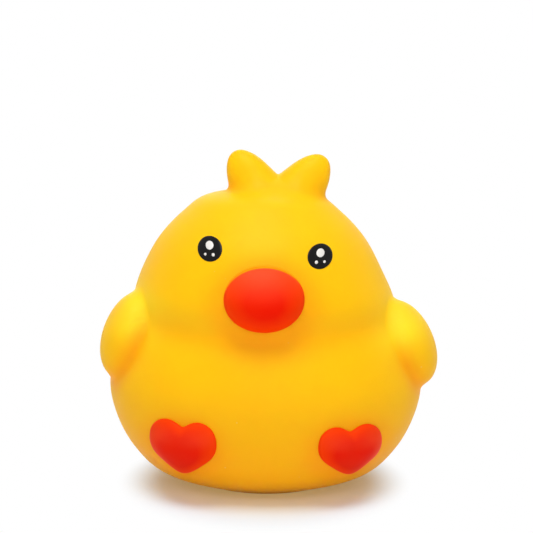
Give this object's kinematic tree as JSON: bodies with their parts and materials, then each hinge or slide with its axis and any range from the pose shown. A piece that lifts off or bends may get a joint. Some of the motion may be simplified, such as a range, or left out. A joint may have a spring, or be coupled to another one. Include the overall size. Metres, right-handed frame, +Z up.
{
  "type": "squishy chick",
  "caption": "Soft moulded yellow squeeze chick with small side wings, a two-lobed crest, a red oval beak, red heart feet and dotted black eyes; flat base.",
  "frame": {"origin": "centre of the flat base, on the surface that the chick stands on", "axes": "+Z up, the face looks along -Y, +X towards the wing on the right of the front view"},
  "size_m": [0.107, 0.0971, 0.1081],
  "materials": {
    "soft_skin": "soft vinyl cast in yellow, satin and slightly translucent, with red, black and white sprayed paint on the raised beak, heart feet and eyes"
  },
  "bodies": {
    "root": {"chick_body": "soft_skin"}
  },
  "joints": []
}
